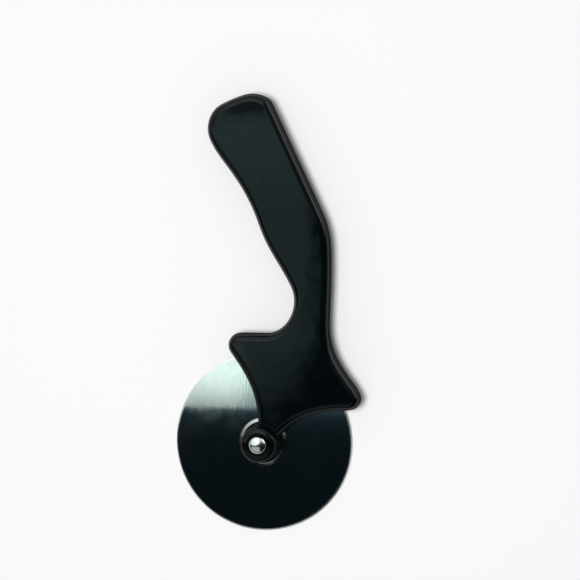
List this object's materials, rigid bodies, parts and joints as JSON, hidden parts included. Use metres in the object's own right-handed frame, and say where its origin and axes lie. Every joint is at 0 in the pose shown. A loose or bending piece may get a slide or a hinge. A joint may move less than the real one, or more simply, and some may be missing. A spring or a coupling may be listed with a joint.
{
  "type": "pizza cutter",
  "caption": "Hand-held pizza cutter: flat black plastic handle with a leaning grip, narrow waist and horned finger guard, and a steel wheel that spins on a riveted pivot.",
  "frame": {"origin": "on the wheel's axis, at the flat back of the rivet's tail", "axes": "+Z along the wheel's axis, out of the handle's front face; +Y from the wheel to the butt of the handle; +X to the right horn of the guard"},
  "size_m": [0.075, 0.171, 0.0157],
  "materials": {
    "black_plastic": "moulded, smooth and glossy",
    "rivet_steel": "bright polished head",
    "plain_steel": "plain turned steel",
    "pressed_steel": "bright pressed sheet",
    "blade_steel": "polished, with a fine grain and a ground rim"
  },
  "bodies": {
    "handle": {"front_shell": "black_plastic", "rear_shell": "black_plastic", "axle_rivet": "rivet_steel", "axle_sleeve": "plain_steel", "rear_washer": "plain_steel", "dished_washer": "pressed_steel"},
    "wheel": {"blade": "blade_steel"}
  },
  "joints": [
    {"name": "wheel_spin", "type": "hinge", "parent": "handle", "child": "wheel", "pos_m": [0, 0, 0.0024], "axis": [0, 0, 1], "continuous": true}
  ]
}
